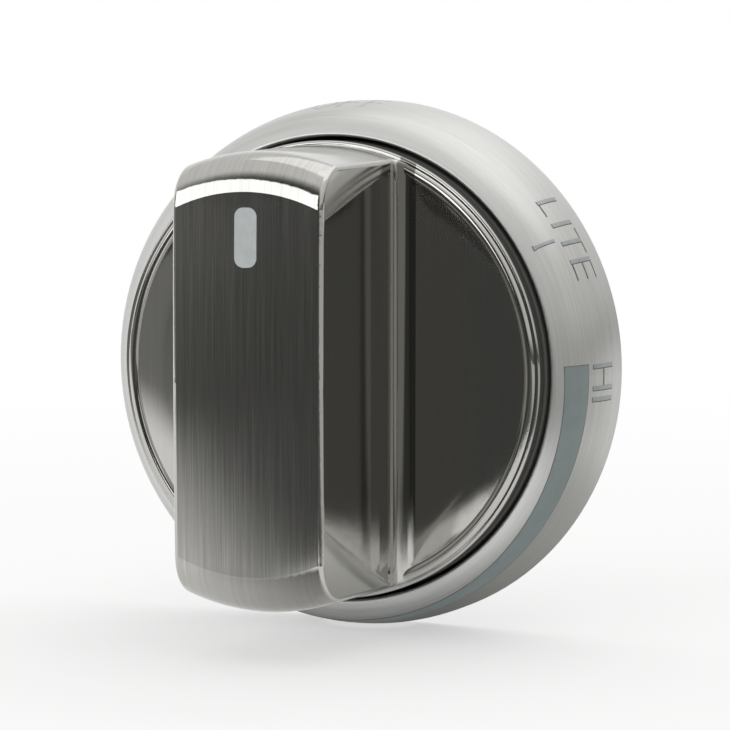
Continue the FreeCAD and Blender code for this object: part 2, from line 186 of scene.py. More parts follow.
def step(tree, value, low, high, unit=1.0):
    """Rises smoothly from 0 to 1 as the value goes from low to high, both in the unit."""
    node = add(tree, "MapRange", {"interpolation_type": "SMOOTHSTEP"}, Value=value)
    node.inputs["From Min"].default_value = low * unit
    node.inputs["From Max"].default_value = high * unit
    return node.outputs["Result"]


def between(tree, value, low, high, soft, unit=1.0):
    """1 where the value lies between low and high, falling to 0 within soft outside them."""
    rise = step(tree, value, low - soft, low, unit)
    return times(tree, rise, step(tree, value, high + soft, high, unit))


# %% [markdown]
# The rest of the helpers are for noise, colours, relief and direction. Relief that is finer than the mesh
# is left to a Bump node, and the direction of scratches to a Tangent node, which needs no UV map.

# %% Name noise, colour, relief and direction
def noise(tree, place, scale, detail, roughness):
    """A soft noise of about 0.5 at a place."""
    return add(tree, "TexNoise", Vector=place, Scale=scale, Detail=detail, Roughness=roughness).outputs["Fac"]


def blend(tree, share, a, b):
    """A colour that goes from a to b as the share goes from 0 to 1; a and b are colours or sockets."""
    node = add(tree, "Mix", {"data_type": "RGBA"}, Factor=share)
    for name, colour in (("A", a), ("B", b)):
        if isinstance(colour, bpy.types.NodeSocket):
            tree.links.new(colour, node.inputs[name])
        else:
            node.inputs[name].default_value = (*colour, 1.0)
    return node.outputs["Result"]


def bumped(tree, height, strength, distance):
    """Normals for a height, where a height of 1 stands for the distance in mm."""
    return add(tree, "Bump", Height=height, Strength=strength, Distance=distance * mm).outputs["Normal"]


def running_round(tree, axis):
    """Tangents that run round an axis of the piece."""
    return add(tree, "Tangent", {"direction_type": "RADIAL", "axis": axis}).outputs[0]


def dress(node, material):
    """Gives a solid's object one material in all its slots."""
    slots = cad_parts[node].data.materials
    slots.clear()
    slots.append(material)
    print(node, "wears", material.name)


# %% [markdown]
# ## Brush lines, shared by the metals
# Brushed metal is covered with fine scratches that all run one way. A picture of scratches would show its
# edges and its repeats, so a noise that is stretched along the scratches gives them. Every metal uses it,
# each with its own direction, so it is a node group: it takes coordinates whose Z runs along the
# scratches, and gives a tone, a height, and a slower waver, which makes the edge of a reflection ragged.

# %% Build the brush-line group
def new_group(name, inputs, outputs):
    """An empty shader group with named sockets; every output is a number."""
    group = bpy.data.node_groups.new(name, "ShaderNodeTree")
    for socket, kind in inputs:
        group.interface.new_socket(socket, in_out="INPUT", socket_type="NodeSocket" + kind)
    for socket in outputs:
        group.interface.new_socket(socket, in_out="OUTPUT", socket_type="NodeSocketFloat")
    return group, group.nodes.new("NodeGroupInput").outputs, group.nodes.new("NodeGroupOutput").inputs


def stretched(tree, vector, factors):
    """The vector with each of its parts multiplied by a factor."""
    return add(tree, "VectorMath", {"operation": "MULTIPLY"}, i0=vector, i1=factors).outputs[0]


def brush_line_group():
    """Fine noise across, slow noise along. The tone is three parts of it and one part of a broader noise,
    and the waver is a noise that is wider across and shorter along."""
    inputs = (("Coordinates", "Vector"), ("Lines per mm", "Float"), ("Length mm", "Float"))
    group, given, out = new_group("brush_lines", inputs, ("Tone", "Height", "Waver"))
    across = times(group, given["Lines per mm"], 1.0 / mm)
    along = math_node(group, "DIVIDE", 1.0 / mm, given["Length mm"])
    scale = add(group, "CombineXYZ", X=across, Y=across, Z=along).outputs[0]
    path = stretched(group, given["Coordinates"], scale)
    fine = noise(group, path, 1.0, 3.0, 0.6)
    broad = noise(group, path, 0.30, 2.0, 0.5)
    waver = noise(group, stretched(group, path, (0.45, 0.45, 7.0)), 1.0, 1.0, 0.5)
    tone = times_plus(group, broad, 0.25, times(group, fine, 0.75))
    for name, value in (("Tone", tone), ("Height", fine), ("Waver", waver)):
        group.links.new(value, out[name])
    return group


brush_lines = brush_line_group()
print("brush-line sockets:", [s.name for s in brush_lines.interface.items_tree])


def scratches(tree, path, lines_per_mm, length_mm):
    """The outputs of the brush lines along a path's Z."""
    inputs = {"Coordinates": path, "Lines per mm": lines_per_mm, "Length mm": length_mm}
    return add(tree, "Group", {"node_tree": brush_lines}, **inputs).outputs


# %% [markdown]
# ## Mottle, shared by plastics and enamels
# Moulded plastic has a fine even grain, and enamel is a little cloudy. One plain colour would look like
# paper, so both get a soft noise at two sizes, from a second group. The grain's size is an input, in
# millimetres.

# %% Build the mottle group
def mottle_group():
    """The grain, and a cloud six times its size. The tone is two parts of grain and three of cloud."""
    inputs = (("Coordinates", "Vector"), ("Grain mm", "Float"))
    group, given, out = new_group("mottle", inputs, ("Tone", "Height"))
    scale = math_node(group, "DIVIDE", 1.0 / mm, given["Grain mm"])
    grain = noise(group, given["Coordinates"], scale, 2.0, 0.55)
    cloud = noise(group, given["Coordinates"], math_node(group, "DIVIDE", scale, 6.0), 3.0, 0.5)
    tone = times_plus(group, cloud, 0.6, times(group, grain, 0.4))
    group.links.new(tone, out["Tone"])
    group.links.new(grain, out["Height"])
    return group


mottle = mottle_group()
print("mottle sockets:", [s.name for s in mottle.interface.items_tree])


def mottled_finish(name, dark, pale, roughness, grain, metallic=0.0, relief=0.01):
    """A plastic or enamel between two near colours; its grain and its relief are in mm."""
    material = finish(name, dark, metallic, roughness)
    tree = material.node_tree
    inputs = {"Coordinates": add(tree, "TexCoord").outputs["Object"], "Grain mm": grain}
    spots = add(tree, "Group", {"node_tree": mottle}, **inputs).outputs
    share = step(tree, spots["Tone"], 0.32, 0.68)
    rough = times_plus(tree, share, 0.10, roughness - 0.05)
    normal = bumped(tree, spots["Height"], 0.6, relief)
    feed(tree, base_color=blend(tree, share, dark, pale), roughness=rough, normal=normal)
    return material


# %% [markdown]
# ## The grip's metal
# The grip is one casting: a round disc with a bar across it. The front of the bar is brushed along its
# length, and its sides, the pockets in them and the disc are polished almost to a mirror. The casting
# could be cut up to give each part a material, but a real one has no joints there, so one finish finds
# its zones by their place. These are the sizes, in millimetres, that the zones start from.

# %% Measure the grip
bar_half, bar_front, cove_size = 8.6, 32.4, 1.8
pocket_reach, roll_start, cove_foot = 22.2, 18.5, -19.0
disc_radius, disc_face, rim_ease = 24.75, 13.25, 0.3
bead_middle, bead_width, bead_height = 23.65, 1.2, 0.35
fall_start, fall_width = 19.8, 3.2
cove_top = disc_face + cove_size
bead_foot = bead_middle - bead_width / 2
print("bar", 2 * bar_half, "mm wide, disc", 2 * disc_radius, "mm across")


# %% [markdown]
# On the bar, the brushed front lies inside the bar's width and proud of the disc, less the pockets. Its ends
# roll over. The line where each side meets its cove is rougher and looks satin, and the cove is painted
# darker, a painted shade that keeps a bright reflection out of it.

# %% Find the zones of the bar
def bar_zones(tree, place):
    """Masks by place: brushed front, rolled ends, satin line beside each cove, and the cove, which is painted
    darker as painted shade.
    """
    off_centre = math_node(tree, "ABSOLUTE", place["X"])
    endwards = math_node(tree, "ABSOLUTE", place["Z"])
    within = step(tree, off_centre, bar_half - 0.25, bar_half - 0.50, mm)
    proud = step(tree, place["Y"], -disc_face - 0.95, -disc_face - 1.55, mm)
    beside = step(tree, off_centre, bar_half - 1.30, bar_half - 1.15, mm)
    behind = step(tree, place["Y"], -bar_front + 1.4, -bar_front + 1.7, mm)
    short = step(tree, endwards, pocket_reach, pocket_reach - 0.3, mm)
    pocket = times(tree, times(tree, beside, behind), short)
    brushed = times(tree, times(tree, within, proud), without(tree, pocket))
    rolled = times(tree, brushed, step(tree, endwards, roll_start, roll_start + 2.0, mm))
    edge = between(tree, off_centre, bar_half - 0.03, bar_half + 0.10, 0.05, mm)
    satin = times(tree, edge, between(tree, place["Y"], -cove_top - 0.30, -cove_top + 0.25, 0.12, mm))
    hollow = between(tree, off_centre, bar_half + 0.25, bar_half + 1.90, 0.15, mm)
    hollow = times(tree, hollow, between(tree, place["Y"], -cove_top - 0.05, -disc_face + 0.05, 0.2, mm))
    cove_shade = times(tree, hollow, step(tree, place["Z"], cove_foot, cove_foot + 6.0, mm))
    return brushed, rolled, satin, cove_shade


# %% [markdown]
# On the disc, the skirt behind the rim is coloured near black, and the bead by the rim stays smooth. A bright
# crescent near the rim suggests that the face isn't quite flat there. The solid's face is flat, so a small
# fall towards the rim is given as bump. Turning it into the solid's profile would be truer.

# %% Find the zones of the disc
def disc_zones(tree, place):
    """Masks by place: black skirt, fall of the face, bead. The fall is the square of the way outwards."""
    radius = from_axis(tree, place)
    off_centre = math_node(tree, "ABSOLUTE", place["X"])
    outside = step(tree, radius, disc_radius - 0.25, disc_radius - 0.07, mm)
    skirt = times(tree, outside, step(tree, place["Y"], -disc_face + 0.10, -disc_face + 0.30, mm))
    outwards = math_node(tree, "MULTIPLY_ADD", radius, 1.0 / (fall_width * mm), -fall_start / fall_width,
                         clamp=True)
    clear_of_bar = step(tree, off_centre, bar_half + 0.9, bar_half + 3.9, mm)
    fall = times(tree, times(tree, outwards, outwards), clear_of_bar)
    by_rim = step(tree, radius, bead_foot - 0.35, bead_foot - 0.10, mm)
    bead = times(tree, by_rim, step(tree, place["Y"], -disc_face - 0.95, -disc_face - 0.75, mm))
    return skirt, fall, bead


# %% [markdown]
# The tone of the scratches moves the colour between a dark and a pale metal. On the polished parts it hardly
# moves at all. The rolled ends are painted a little darker and the coves much darker, both as painted shade.
# The skirt takes a near black of its own, painted paler towards the panel as painted light in the shaded gap.
# The relief is in fiftieths of a millimetre, and is mostly the waver on the rolled ends and the fall of the
# disc.

# %% Colour the grip and give it relief
def grip_colour(tree, place, tone, cove_shade, skirt):
    """Metal between a dark and a pale tone, darkened in the coves as painted shade, and near black on the
    skirt, painted paler towards the panel as painted light.
    """
    metal = blend(tree, tone, (0.18, 0.178, 0.168), (0.92, 0.91, 0.87))
    # Painted shade: the coves are darkened towards a dark olive.
    metal = blend(tree, times(tree, cove_shade, 0.8), metal, (0.10, 0.098, 0.085))
    # Painted light: the skirt is made paler towards the panel, deep in the gap where shade falls.
    painted_gap_light = step(tree, place["Y"], -12.0, -11.0, mm)
    black = blend(tree, painted_gap_light, (0.026, 0.025, 0.023), (0.20, 0.20, 0.185))
    return blend(tree, skirt, metal, black)


def grip_relief(tree, lines, polished, rolled, fall, bead):
    """Scratches and their waver, taken off the bead, less five times the fall."""
    share = times_plus(tree, polished, 0.03, times_plus(tree, rolled, 0.16, 0.02))
    waver = times(tree, lines["Waver"], share)
    scratched = times_plus(tree, lines["Height"], 0.02, waver)
    scratched = times(tree, scratched, without(tree, bead))
    return times_plus(tree, fall, -5.0, scratched)


# %% [markdown]
# Scratches along Z spread a reflection sideways only. A rougher metal would blur it both ways, so the
# shader's anisotropy does this, with tangents that run round Z.

# %% Finish the grip
def grip_finish():
    """Dark polished metal with a brushed front; masks come from the place on the solid."""
    material = finish("grip_metal", (0.55, 0.545, 0.52), 1.0, 0.12, anisotropic=0.75)
    tree = material.node_tree
    place = place_of(tree)
    brushed, rolled, satin, cove_shade = bar_zones(tree, place)
    skirt, fall, bead = disc_zones(tree, place)
    polished = without(tree, brushed)
    depth = times(tree, place["Y"], polished)
    path = add(tree, "CombineXYZ", X=place["X"], Y=depth, Z=place["Z"]).outputs[0]
    lines = scratches(tree, path, 6.0, 14.0)
    centred = math_node(tree, "SUBTRACT", lines["Tone"], 0.5)
    swing = times_plus(tree, brushed, 0.75, times_plus(tree, rolled, -0.60, 0.15))
    # Painted shade: the rolled ends are made a little darker, which dims the pale floor's reflection in them.
    tone = times_plus(tree, centred, swing, times_plus(tree, rolled, -0.07, 0.5))
    rough = times_plus(tree, centred, 0.06, times_plus(tree, brushed, 0.035, 0.085))
    rough = times_plus(tree, higher(tree, skirt, satin), 0.42, rough)
    relief = grip_relief(tree, lines, polished, rolled, fall, bead)
    feed(tree, base_color=grip_colour(tree, place, tone, cove_shade, skirt), metallic=without(tree, skirt),
         roughness=rough, normal=bumped(tree, relief, 1.0, 0.02), tangent=running_round(tree, "Z"))
    return material


grip_metal = grip_finish()
dress("grip", grip_metal)

# %% [markdown]
# ## The pointer
# A pale enamel fills a shallow recess near the top of the bar. It is nearly plain, so the mottle with two
# close colours is enough.

# %% Finish the pointer
pointer_pale = mottled_finish("pointer_enamel", (0.42, 0.45, 0.45), (0.48, 0.51, 0.51),
                              roughness=0.36, grain=0.25, relief=0.004)
dress("pointer_inlay", pointer_pale)


# %% [markdown]
# ## The ring's steel
# The ring was turned against a belt, so its scratches run round it. Straight scratches bent by a UV map would
# do, but it is simpler to give the brush lines other coordinates: the distance from the axis, the place along
# the axis, and the arc length round it. Near the lip the steel is painted paler as a painted highlight, and
# paler still on the lip's edge as a painted highlight line.

# %% Finish the ring
def around_axis(tree, place, radius_mm):
    """Coordinates for scratches round the axis: distance from it, place along it, arc length round it."""
    angle = math_node(tree, "ARCTAN2", place["X"], place["Z"])
    arc = times(tree, angle, radius_mm * mm)
    return add(tree, "CombineXYZ", X=from_axis(tree, place), Y=place["Y"], Z=arc).outputs[0]


def turned_steel(name, dark, pale, roughness, lines_per_mm, length_mm, swing, radius_mm, anisotropy):
    """Steel with scratches that run round the axis, between a dark and a pale tone. Near the ring's lip it is
    painted paler: a painted highlight, brightest on the lip's edge.
    """
    material = finish(name, pale, 1.0, roughness, anisotropic=anisotropy, anisotropic_rotation=0.25)
    tree = material.node_tree
    place = place_of(tree)
    lines = scratches(tree, around_axis(tree, place, radius_mm), lines_per_mm, length_mm)
    centred = math_node(tree, "SUBTRACT", lines["Tone"], 0.5)
    tone = times_plus(tree, centred, swing, 0.5)
    # Painted highlights: paler towards the lip, and paler still on the lip's edge.
    painted_lip_highlight = step(tree, place["Y"], -10.4, -11.3, mm)
    painted_lip_edge_highlight = step(tree, place["Y"], -11.35, -11.55, mm)
    tone = times_plus(tree, painted_lip_edge_highlight, 0.4, times_plus(tree, painted_lip_highlight, 0.25, tone))
    rough = times_plus(tree, centred, 0.16, roughness)
    feed(tree, base_color=blend(tree, tone, dark, pale), roughness=rough,
         normal=bumped(tree, lines["Height"], 0.3, 0.01), tangent=running_round(tree, "Y"))
    return material


ring_steel = turned_steel("ring_steel", (0.40, 0.40, 0.388), (0.78, 0.78, 0.765), roughness=0.40,
                          lines_per_mm=4.5, length_mm=9.0, swing=0.75, radius_mm=28.0, anisotropy=0.4)
dress("dial_ring", ring_steel)

# %% [markdown]
# ## Pieces behind the ring
# The moulded carrier, the hub, its screws, the clip and the retaining ring are seen from behind. The
# plastics differ in colour and grain only, so one function makes all three. The steel pieces are
# turned or drawn, and reuse the ring's recipe with finer, fainter lines.

# %% Dress the pieces behind the ring
dress("ring_carrier", mottled_finish("carrier_plastic", (0.021, 0.021, 0.022), (0.034, 0.034, 0.035),
                                     roughness=0.48, grain=0.30))
dress("hub", mottled_finish("hub_plastic", (0.10, 0.10, 0.103), (0.135, 0.135, 0.14),
                            roughness=0.45, grain=0.22))
dress("thrust_washer", mottled_finish("washer_plastic", (0.70, 0.69, 0.65), (0.80, 0.79, 0.75),
                                      roughness=0.38, grain=0.35, relief=0.005))
zinc = turned_steel("screw_steel", (0.42, 0.43, 0.45), (0.72, 0.73, 0.75), roughness=0.30,
                    lines_per_mm=5.0, length_mm=2.0, swing=0.5, radius_mm=14.0, anisotropy=0.2)
sprung = turned_steel("spring_steel", (0.26, 0.26, 0.255), (0.62, 0.62, 0.61), roughness=0.28,
                      lines_per_mm=8.0, length_mm=5.0, swing=0.6, radius_mm=11.0, anisotropy=0.3)
for screw in ("hub_screw_upper", "hub_screw_lower"):
    dress(screw, zinc)
for leaf in ("stem_clip", "retaining_ring"):
    dress(leaf, sprung)


# %% [markdown]
# ## Surfaces from formulas
# What the solids lack is added as surfaces: points worked out on a grid by a formula. A modelled mesh
# would do as well, but a formula states the shape exactly. A piece may hold several grids. Their corners
# are numbered row by row, a quad that would face inwards is turned round, and points that lie in one
# place are joined, so that a strip that closes on itself has no seam.

# %% Number, turn and join the quads
def grid_quads(grid, offset):
    """Four corner numbers for each cell of a grid, whose points are numbered row by row from offset."""
    rows, columns = grid.shape[:2]
    index = np.arange(rows * columns).reshape(rows, columns) + offset
    corners = [index[:-1, :-1], index[1:, :-1], index[1:, 1:], index[:-1, 1:]]
    return np.stack(corners, axis=-1).reshape(-1, 4)


def face_away(points, quads, centre):
    """Turns round each quad whose normal points towards the centre."""
    a, b, c = (points[quads[:, corner]] for corner in range(3))
    outward = points[quads].mean(axis=1) - centre
    inside_out = (np.cross(b - a, c - a) * outward).sum(axis=1) < 0
    quads[inside_out] = quads[inside_out][:, ::-1]


def weld(mesh, outwards=False):
    """Joins points that lie in one place; can also turn the faces of a closed surface outwards."""
    work = bmesh.new()
    work.from_mesh(mesh)
    bmesh.ops.remove_doubles(work, verts=work.verts, dist=0.001 * mm)
    if outwards:
        bmesh.ops.recalc_face_normals(work, faces=work.faces)
    work.to_mesh(mesh)
    work.free()


# %% [markdown]
# Every added piece then rides on one of the bodies that move, and names the material slot it belongs to.

# %% Turn grids into one piece
def piece_from_grids(name, grids, material, body, centre_y=-6.0):
    """One mesh of several grids, which faces away from a point on the axis; centre_y places it, in mm."""
    points = np.concatenate([grid.reshape(-1, 3) for grid in grids])
    offsets = np.cumsum([0] + [grid.shape[0] * grid.shape[1] for grid in grids])
    quads = np.concatenate([grid_quads(grid, offset) for grid, offset in zip(grids, offsets)])
    face_away(points, quads, np.array([0.0, centre_y * mm, 0.0]))
    mesh = bpy.data.meshes.new(name)
    mesh.from_pydata(points, [], quads.tolist())
    mesh.materials.append(material)
    mesh.polygons.foreach_set("use_smooth", np.ones(len(quads), bool))
    weld(mesh)
    piece = bpy.data.objects.new(name, mesh)
    bpy.context.scene.collection.objects.link(piece)
    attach(piece, body)
    print(name, len(mesh.polygons), "faces")
    return piece


# %% [markdown]
# ## The bead and the rim of the disc
# A low bead runs round the polished disc, just inside its eased rim. The solid's round edges are cut into
# flats, and a mirror finish shows every flat as a kink in the bright line. A smoother solid would be one
# way out, but a finely turned skin is lighter: an arc carried round the axis, a hair proud of the solid.
# Both skins wear the grip's own finish and turn with the grip. They face the front, away from a point far
# behind the panel.

# %% Turn the skins of the bead and the rim
def turned_arc(radius, depth, arc_radius, first, last, cells=(480, 16)):
    """An arc about a point at a radius and a depth, carried once round the axis.
    Its angle is 0 where it faces the front and a quarter turn where it faces away from the axis."""
    turn = np.linspace(0, 2 * np.pi, cells[0] + 1)[:, None]
    swing = np.linspace(first, last, cells[1] + 1)[None, :]
    r = radius + arc_radius * np.sin(swing)
    d = depth + arc_radius * np.cos(swing) + 0 * turn
    return np.stack([r * np.sin(turn), -d, r * np.cos(turn)], axis=-1) * mm


skin_lift, far_behind = 0.012, 1000.0
bead_radius = (bead_width ** 2 / 4 + bead_height ** 2) / (2 * bead_height)
bead_turn = math.asin(bead_width / 2 / bead_radius)
bead_centre = disc_face + bead_height - bead_radius
bead_skin = turned_arc(bead_middle, bead_centre, bead_radius + skin_lift, -bead_turn, bead_turn)
rim_skin = turned_arc(disc_radius - rim_ease, disc_face - rim_ease, rim_ease + skin_lift, 0.0, math.pi / 2)
piece_from_grids("disc_bead", [bead_skin, rim_skin], grip_metal, "grip", far_behind)

# %% [markdown]
# ## Marks on the ring
# The words, the tick and the tapered band are filled with blue-grey enamel. They lie on a curved ring,
# so flat text would stand off it. Instead each stroke is a strip in two coordinates of the ring's own
# skin, the angle round the axis and the distance up the profile from the panel, and a formula lays the
# strip on the skin. The skin's profile is a straight foot, a wide arc and a tighter arc.

# %% Describe the ring's skin
ring_radius = 29.0
straight = 2.0
side_radius = 20.0
side_turn = math.radians(18.0)
front_radius = 5.7261
side_length = side_radius * side_turn
arc_degree = math.radians(1) * (ring_radius - 0.4)


def on_skin(angle, up, lift):
    """Points at an angle in degrees, clockwise from the top, and a distance up the profile, in mm.
    Each arc's point is its centre plus its radius along the skin's normal; lift moves it outwards."""
    side = np.clip((up - straight) / side_radius, 0, side_turn)
    front = np.clip((up - straight - side_length) / front_radius, 0, None)
    tilt = side + front
    r = ring_radius + side_radius * (np.cos(side) - 1) + front_radius * (np.cos(tilt) - np.cos(side))
    d = np.minimum(up, straight) + side_radius * np.sin(side) + front_radius * (np.sin(tilt) - np.sin(side))
    r, d = r + lift * np.cos(tilt), d + lift * np.sin(tilt)
    turn = np.radians(angle)
    return np.stack([r * np.sin(turn), -d, r * np.cos(turn)], axis=-1) * mm


print("one degree round the ring is", round(arc_degree, 3), "mm")


# %% [markdown]
# A stroke is a quad in the skin's two coordinates, cut into a fine grid so that it follows the curve.
# Its width may change from one end to the other, which gives the tick its flared foot. A round letter
# is a closed strip about an ellipse, and the band is a strip whose top falls as it goes round.

# %% Make strips, loops and the tapered band
def strip(start, end, width, lift, end_width=None, cells=(24, 3)):
    """A strip on the skin between two (angle, up) points; its width goes evenly from width to end_width."""
    a, b = np.array(start, float), np.array(end, float)
    a[0], b[0] = a[0] * arc_degree, b[0] * arc_degree
    along = (b - a) / np.linalg.norm(b - a)
    across = np.array([-along[1], along[0]])
    t = np.linspace(0, 1, cells[0] + 1)[:, None, None]
    wide = width + ((end_width or width) - width) * t
    w = np.linspace(-0.5, 0.5, cells[1] + 1)[None, :, None] * wide
    flat = a + (b - a) * t + across * w
    return on_skin(flat[..., 0] / arc_degree, flat[..., 1], lift)


def loop(centre, half_width, low, high, width, lift, cells=(64, 3)):
    """A round letter on the skin: a strip of one width about an ellipse."""
    t = np.linspace(0, 2 * np.pi, cells[0] + 1)[:, None]
    w = np.linspace(-0.5, 0.5, cells[1] + 1)[None, :] * width
    angle = centre + (half_width + w) * np.cos(t) / arc_degree
    up = (low + high) / 2 + ((high - low) / 2 + w) * np.sin(t)
    return on_skin(angle, up, lift)


def taper(first, last, foot, top, tip, power, lift, grow=0.0, cells=(160, 6)):
    """The band that narrows round the ring: its foot runs straight, and its top falls to the tip's width
    as a power of the way round. It may grow on all sides to make a border."""
    t = np.linspace(0, 1, cells[0] + 1)[:, None]
    w = np.linspace(0, 1, cells[1] + 1)[None, :]
    low = foot[0] + (foot[1] - foot[0]) * t
    high = top + (low + tip - top) * t ** power + grow
    angle = first - grow / arc_degree + (last - first + 2 * grow / arc_degree) * t
    return on_skin(angle, low - grow + (high - low + grow) * w, lift)


# %% [markdown]
# The letters are plain capitals with thick stems and thin arms. A stem runs along the profile, an arm
# runs round the ring. A font would give the outlines, but not these thick and thin strokes, so the
# strokes are listed: stems by their angle, arms by two angles and a height, round letters by their
# middle and half their width. The top word has worn almost away.

# %% List the strokes
word_top, word_foot = 2.85, 6.95
word_middle = (word_top + word_foot) / 2
stem_width, arm_width, worn_width = 0.44, 0.19, 0.3
arm_top, arm_foot = word_top + arm_width / 2, word_foot - arm_width / 2
stems = [50.3, 56.2, 60.65, 65.0, 88.0, 92.7, 95.1, 200.5]
arms = [(50.0, 53.9, arm_foot), (57.8, 63.7, arm_top), (65.0, 69.3, arm_top), (65.0, 69.3, word_middle),
        (65.0, 69.3, arm_foot), (88.0, 92.7, word_middle), (200.3, 204.3, arm_foot)]
loops = [(207.8, 1.45)]
tick_angle, tick_outer, tick_inner, tick_flare = 59.35, 7.95, 11.0, 10.45
tick_width, tick_foot = 0.34, 0.56
worn_stems = [-3.7, 2.1]
worn_arms = [(-3.7, 0.5, arm_top), (-3.7, 0.1, word_middle), (2.1, 6.2, arm_top), (2.1, 5.8, word_middle)]
worn_loops = [(-8.0, 1.3)]
band = {"first": 87.5, "last": 206, "foot": (7.84, 7.55), "top": 11.1, "tip": 0.12, "power": 1.3}
print(len(stems), "stems and", len(arms), "arms")


# %% [markdown]
# Each stem has a dark lower edge, where the cut's wall is in shadow. Cutting the ring would show it truly,
# but at this size a dark strip under the fill, a little wider on that side, looks much the same.

# %% Turn the list into grids
def stem_grids(angles, lift, wider=0.0):
    """Stems as strips; wider carries the strip past its lower edge and its foot."""
    shift, width = wider / 2 / arc_degree, stem_width + wider
    return [strip((a + shift, word_top), (a + shift, word_foot + wider), width, lift) for a in angles]


def arm_grids(spans, lift):
    """Arms as thin strips round the ring."""
    return [strip((a, up), (b, up), arm_width, lift) for a, b, up in spans]


def loop_grids(centres, lift, width, inset=0.2):
    """Round letters between the heights of the words, less an inset for half their stroke."""
    return [loop(c, half, word_top + inset, word_foot - inset, width, lift) for c, half in centres]


def tick_grids(lift, wider=0.0):
    """The tick: an even strip that flares towards the lip."""
    angle, width = tick_angle + wider / 2 / arc_degree, tick_width + wider
    return [strip((angle, tick_outer), (angle, tick_flare), width, lift),
            strip((angle, tick_flare), (angle, tick_inner + wider), width, lift, tick_foot + wider)]


# %% [markdown]
# The fill of the words is a darkened metal rather than a paint, so it brightens and dims with the ring.
# The band is a true enamel with a thin dark border. Four mottled finishes give them.

# %% Mix the fills
mark_fill = mottled_finish("mark_fill", (0.34, 0.365, 0.37), (0.43, 0.455, 0.46),
                           roughness=0.42, grain=0.12, metallic=0.85, relief=0.004)
# Painted shadow: mark_wall's dark stands for the shaded walls of the cuts under the stems, the round letter
# and the tick. The arms and the band's border are drawn in the same dark.
mark_wall = mottled_finish("mark_wall", (0.075, 0.08, 0.08), (0.12, 0.125, 0.125),
                           roughness=0.6, grain=0.12, relief=0.004)
worn_fill = mottled_finish("worn_fill", (0.50, 0.505, 0.50), (0.60, 0.605, 0.595),
                           roughness=0.45, grain=0.35, metallic=1.0, relief=0.004)
band_fill = mottled_finish("band_enamel", (0.178, 0.212, 0.216), (0.202, 0.238, 0.241),
                           roughness=0.45, grain=0.3, relief=0.004)
print("fills:", [m.name for m in (mark_fill, mark_wall, worn_fill, band_fill)])

# %% [markdown]
# Layers that lie on one skin would flicker through each other, so each layer is lifted by a few
# thousandths of a millimetre more than the one under it.

# %% Lay the marks on the skin
cut_wall, wall_lift, arm_lift, fill_lift = 0.10, 0.005, 0.008, 0.012
border, border_lift, band_lift = 0.08, 0.004, 0.010
walls = stem_grids(stems, wall_lift, cut_wall) + arm_grids(arms, arm_lift)
walls += loop_grids(loops, wall_lift, stem_width + cut_wall) + tick_grids(wall_lift, cut_wall)
piece_from_grids("mark_walls", walls, mark_wall, "bezel")
fills = stem_grids(stems, fill_lift) + loop_grids(loops, fill_lift, stem_width) + tick_grids(fill_lift)
piece_from_grids("mark_fills", fills, mark_fill, "bezel")
worn = stem_grids(worn_stems, wall_lift) + arm_grids(worn_arms, wall_lift)
worn += loop_grids(worn_loops, wall_lift, worn_width)
piece_from_grids("worn_marks", worn, worn_fill, "bezel")
band_edge = taper(**band, lift=border_lift, grow=border)
piece_from_grids("band_border", [band_edge], mark_wall, "bezel")
band_face = taper(**band, lift=band_lift)
piece_from_grids("tapered_band", [band_face], band_fill, "bezel")


# %% [markdown]
# ## The return spring
# A coil of round wire sits round the hub and pushes the grip out. Its solid can't flatten. A coil of the same
# size stands for it here: a circle carried along a helix, with the ends closed by letting the wire taper to a
# point within its last degrees.

# %% Wind the spring
def wound_wire(coil, wire, low, high, turns, cells=(288, 14)):
    """A tube about a helix: the wire's circle lies along the coil's radius and its axis."""
    t = np.linspace(0, 1, cells[0] + 1)[:, None]
    turn = 2 * np.pi * turns * t
    ends = np.clip(np.minimum(t, 1 - t) * cells[0] / 2, 0, 1) ** 0.5
    ring = np.linspace(0, 2 * np.pi, cells[1] + 1)[None, :]
    radius = coil + wire * ends * np.cos(ring)
    depth = low + (high - low) * t + wire * ends * np.sin(ring)
    return np.stack([radius * np.sin(turn), -depth, radius * np.cos(turn)], axis=-1) * mm


spring_low, spring_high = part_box("return_spring")
wire_radius, coil_turns = 0.3, 3.0
coil_radius = spring_high.x / mm - wire_radius
first_depth = -spring_high.y / mm + wire_radius
last_depth = -spring_low.y / mm - wire_radius
coil_grid = wound_wire(coil_radius, wire_radius, first_depth, last_depth, coil_turns)
spring = piece_from_grids("coil_spring", [coil_grid], sprung, "bezel")
print("coil radius", round(coil_radius, 3), "from", round(first_depth, 3), "to", round(last_depth, 3))

# %% [markdown]
# A tube's own faces must point away from its wire, not from the ring's middle, so its normals are worked out
# again from the closed surface. Then the coil takes the solid's place and gets a mesh of its own.

# %% Close the coil and put it in the solid's place
weld(spring.data, outwards=True)
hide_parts("return_spring")
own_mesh(spring)

# %% [markdown]
# ## Floor and light
# The knob stands on a pale sheet. More light would make the sheet white, but would burn out the metal
# too. So the sheet's own colour makes it white, partly by a glow that doesn't depend on the lamps and
# grows away from the knob, and the knob's shadow still falls on it.

